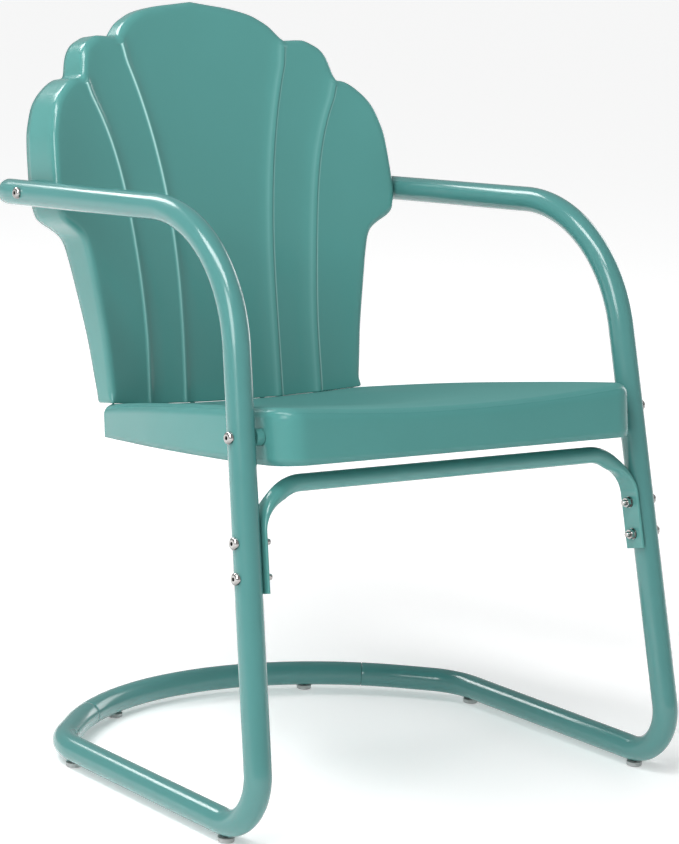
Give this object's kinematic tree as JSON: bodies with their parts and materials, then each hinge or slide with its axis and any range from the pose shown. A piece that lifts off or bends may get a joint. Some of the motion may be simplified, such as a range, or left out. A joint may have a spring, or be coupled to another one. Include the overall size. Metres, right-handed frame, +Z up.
{
  "type": "spring lawn chair",
  "caption": "Outdoor metal armchair with a pressed scalloped back, a pressed seat and a bent tube cantilever frame that flexes.",
  "frame": {"origin": "middle of the footprint on the floor, under the chair's bounding box", "axes": "+Z up, the sitter faces -Y, +X is the right-hand side for someone who stands in front of the chair; left and right in node names are that person's; the chair is mirrored about the X = 0 plane"},
  "size_m": [0.5958, 0.6133, 0.8234],
  "materials": {
    "teal_paint": "gloss",
    "hardware": "zinc plated",
    "inner_steel": "plain",
    "glide_plastic": "translucent grey"
  },
  "bodies": {
    "base": {"left_floor_rail": "teal_paint", "right_floor_rail": "teal_paint", "rear_base_tube": "teal_paint", "left_spring_bend": "teal_paint", "right_spring_bend": "teal_paint", "base_splice_sleeves": "inner_steel", "floor_glides": "glide_plastic", "glide_screws": "inner_steel"},
    "seat_unit": {"left_arm_tube": "teal_paint", "right_arm_tube": "teal_paint", "arm_end_plugs": "teal_paint", "seat_crossbar": "teal_paint", "seat_pan": "teal_paint", "back_shell": "teal_paint", "seat_side_spacers": "teal_paint", "arm_spacers": "teal_paint", "crossbar_bolts": "hardware", "crossbar_washers": "hardware", "crossbar_nuts": "hardware", "seat_side_bolts": "hardware", "seat_side_washers": "hardware", "seat_side_nuts": "hardware", "arm_bolts": "hardware", "arm_washers": "hardware", "arm_nuts": "hardware", "back_to_seat_bolts": "hardware", "back_to_seat_washers": "hardware", "back_to_seat_nuts": "hardware"}
  },
  "joints": [
    {"name": "frame_flex", "type": "hinge", "parent": "base", "child": "seat_unit", "pos_m": [0, -0.2754, 0.0438], "axis": [-1, 0, 0], "range_deg": [-1.5, 5], "stiffness_Nm_per_rad": 2800, "springref_deg": -0.4, "deforming": ["left_spring_bend", "right_spring_bend"]}
  ]
}
